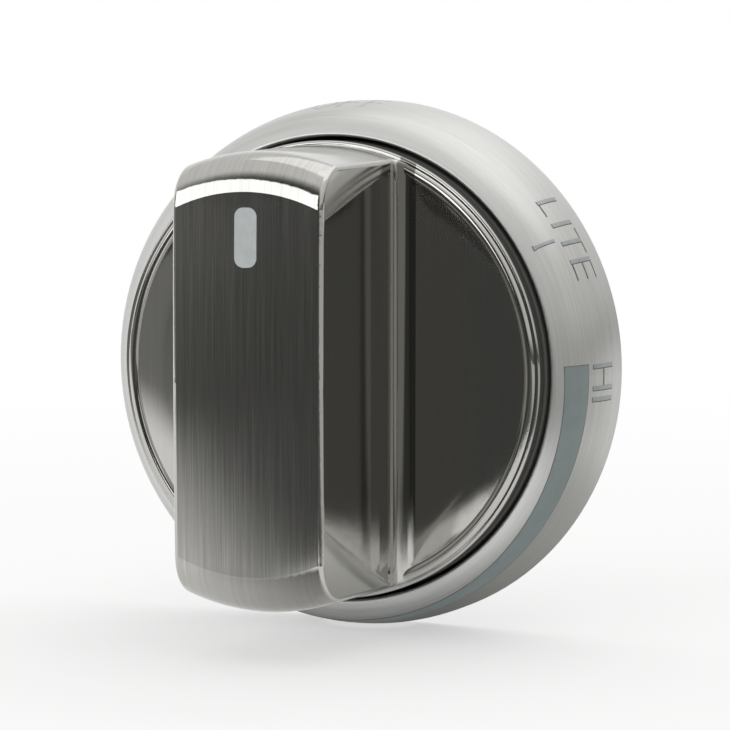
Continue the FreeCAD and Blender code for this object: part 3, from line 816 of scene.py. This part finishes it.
# %% Lay the floor
ring_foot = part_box("dial_ring")[0].z
floor_size, floor_gap = 120.0, 0.05 * mm
bpy.ops.mesh.primitive_plane_add(size=floor_size, location=(0, 0, ring_foot - floor_gap))
floor = bpy.context.object
floor.name = "studio_floor"
floor_white = finish("floor_white", (0.93, 0.93, 0.93), 0.0, 0.9)
tree = floor_white.node_tree
away = length_of(tree, add(tree, "TexCoord").outputs["Object"])
glow = add(tree, "Emission", Color=(1, 1, 1, 1), Strength=1.0)
share = times_plus(tree, step(tree, away, 0.03, 0.30), 0.5, 0.5)
mixed = add(tree, "MixShader", i0=share, i1=tree.nodes["Principled BSDF"].outputs[0], i2=glow.outputs[0])
tree.links.new(mixed.outputs[0], tree.nodes["Material Output"].inputs["Surface"])
floor.data.materials.append(floor_white)
print("floor at", round(ring_foot, 5))

# %% [markdown]
# Photographers lay black cards round a shiny object, because polished metal shows whatever is near it.
# A darker metal would be another way to get dark faces, but it would lose its bright edges. This card
# lies on the floor and is seen only in reflections.

# %% Lay the dark card
card_size, card_lift = 80.0, 0.5 * mm
bpy.ops.mesh.primitive_plane_add(size=card_size, location=(0, 0, ring_foot + card_lift))
dark_card = bpy.context.object
dark_card.name = "dark_card"
for rays in ("visible_camera", "visible_diffuse", "visible_shadow", "visible_transmission"):
    setattr(dark_card, rays, False)
card = finish("card_black", (0.05, 0.05, 0.047), 0.0, 1.0)
tree = card.node_tree
spot = place_of(tree)
away = length_of(tree, add(tree, "TexCoord").outputs["Object"])
print("card", card_size, "m wide")


# %% [markdown]
# The card is cut away to the left of a slanted edge and behind the knob, so that the pale floor shows in
# the metal there. It is also cut away near the knob on the right, where the disc and the ring look for
# their bright crescents. That edge is ragged, as the edge of a reflection in brushed metal is: two sets of
# thin columns and one notch move it to and fro. All places on the card are in metres.

# %% Cut the card
def sloped(tree, spot, slope):
    """Straight lines across the card: X plus the slope times Y."""
    return times_plus(tree, spot["Y"], slope, spot["X"])


card_edge, card_fade, column_slope, columns_per_m = 0.027, 0.020, 0.466, 500.0
beside = step(tree, sloped(tree, spot, -0.70), card_edge - card_fade, card_edge + card_fade)
not_behind = step(tree, times_plus(tree, spot["X"], -0.9, spot["Y"]), 0.02, -0.01)
crosswise = sloped(tree, spot, column_slope)
lengthwise = sloped(tree, spot, -column_slope)
columns = [add(tree, "TexNoise", {"noise_dimensions": "1D"}, W=way, Scale=columns_per_m, Detail=3.0)
           for way in (crosswise, lengthwise)]
both_ways = math_node(tree, "ADD", columns[0].outputs["Fac"], columns[1].outputs["Fac"])
notched = times_plus(tree, step(tree, crosswise, -0.0025, -0.0035), -0.018, away)
ragged = times_plus(tree, both_ways, 0.07, notched)
before_bar = times(tree, step(tree, spot["X"], -0.020, -0.008), step(tree, away, 0.055, 0.066))
open_right = higher(tree, step(tree, spot["X"], 0.006, 0.020), before_bar)
near = times(tree, step(tree, ragged, 0.152, 0.146), open_right)
right_part = times(tree, times(tree, beside, not_behind), without(tree, near))
print("card edge at", card_edge, "m")

# %% [markdown]
# Two more parts are covered: the floor far in front, which the front of the bar looks at, and a strip
# under the knob, which darkens the foot of the ring.

# %% Cover the far front and the strip under the knob
far_front = step(tree, spot["Y"], -0.12, -0.24)
under_knob = between(tree, spot["X"], -0.025, 0.05, 0.02)
under = times(tree, between(tree, spot["Y"], -0.004, 0.04, 0.012), under_knob)
covered = higher(tree, higher(tree, right_part, far_front), under)
print("card covers the right, the far front and the strip under the knob")

# %% [markdown]
# The card isn't equally dark. It is paler at the left, which lightens the left of the disc, much paler at
# the far right, which the right of the ring looks at, and a little paler in front on the right and under
# the ring. It glows by these levels rather than being lit, so that they stay as they are set.

# %% Tone the card
level = times_plus(tree, step(tree, sloped(tree, spot, -0.55), 0.006, -0.014), 0.15, 0.065)
level = times_plus(tree, step(tree, sloped(tree, spot, 0.70), 0.02, 0.12), 0.45, level)
level = times_plus(tree, step(tree, sloped(tree, spot, 0.25), -0.02, 0.01), 0.05, level)
level = times_plus(tree, times(tree, under, step(tree, spot["X"], 0.004, 0.028)), 0.28, level)
dark = add(tree, "Emission", Color=(1.0, 1.0, 0.96, 1), Strength=level)
clear = add(tree, "BsdfTransparent")
mixed = add(tree, "MixShader", i0=covered, i1=clear.outputs[0], i2=dark.outputs[0])
tree.links.new(mixed.outputs[0], tree.nodes["Material Output"].inputs["Surface"])
dark_card.data.materials.append(card)
print("card nodes:", len(tree.nodes))

# %% [markdown]
# The studio round the knob is a world of plain tones by direction: dim at eye level, brighter above,
# dark in front where the room is, and a white sheet behind on the left. Metal takes its look from these
# tones, and tones by direction are easier to move than a picture of a studio.

# %% Tone the studio
world = bpy.data.worlds.new("studio")
bpy.context.scene.world = world
world.use_nodes = True
tree = world.node_tree
direction = add(tree, "TexCoord").outputs["Generated"]
aimed = add(tree, "SeparateXYZ", Vector=direction).outputs


def facing(tree, direction, way):
    """How far a direction agrees with a given way: 1 along it, 0 across it."""
    return add(tree, "VectorMath", {"operation": "DOT_PRODUCT"}, i0=direction, i1=way).outputs["Value"]


low_sides = blend(tree, step(tree, aimed["Z"], 0.03, 0.17), (0.11, 0.11, 0.105), (0.70, 0.70, 0.69))
sides = blend(tree, step(tree, aimed["Z"], 0.30, 0.80), low_sides, (0.90, 0.90, 0.89))
room_way, sheet_way = (-0.26, -0.966, 0.0), (-0.72, 0.694, 0.0)
past_room = step(tree, facing(tree, direction, room_way), 0.84, 0.46)
room = blend(tree, past_room, (0.035, 0.035, 0.033), sides)
sheet_height = step(tree, math_node(tree, "ABSOLUTE", aimed["Z"]), 0.65, 0.45)
sheet = times(tree, sheet_height, step(tree, facing(tree, direction, sheet_way), 0.35, 0.70))
tree.links.new(blend(tree, sheet, room, (1.0, 1.0, 1.0)), tree.nodes["Background"].inputs["Color"])
print("world nodes:", len(tree.nodes))


# %% [markdown]
# Two soft boxes finish the light: a strip in front, whose reflection is the white line along the bar's
# rolled end, and a broad one overhead. Small lamps would show as dots in the metal, so both are large
# rectangles, and their power is worked out from the brightness that their faces should have.

# %% Hang the soft boxes
def softbox(name, azimuth, elevation, distance, width, height, radiance):
    """A rectangular lamp that faces the knob; its power is the radiance times pi times its area."""
    place = distance * towards(azimuth, elevation)
    lamp = bpy.data.lights.new(name, "AREA")
    lamp.shape = "RECTANGLE"
    lamp.size, lamp.size_y = width, height
    lamp.energy = radiance * math.pi * width * height
    holder = bpy.data.objects.new(name, lamp)
    holder.location = place
    holder.rotation_euler = (-place).to_track_quat("-Z", "Y").to_euler()
    holder.visible_camera = False
    bpy.context.scene.collection.objects.link(holder)
    return holder


softbox("front_strip", -27, 18.2, distance=1.2, width=1.1, height=0.60, radiance=2.0)
softbox("overhead", 150, 66, distance=1.0, width=1.3, height=1.1, radiance=0.55)
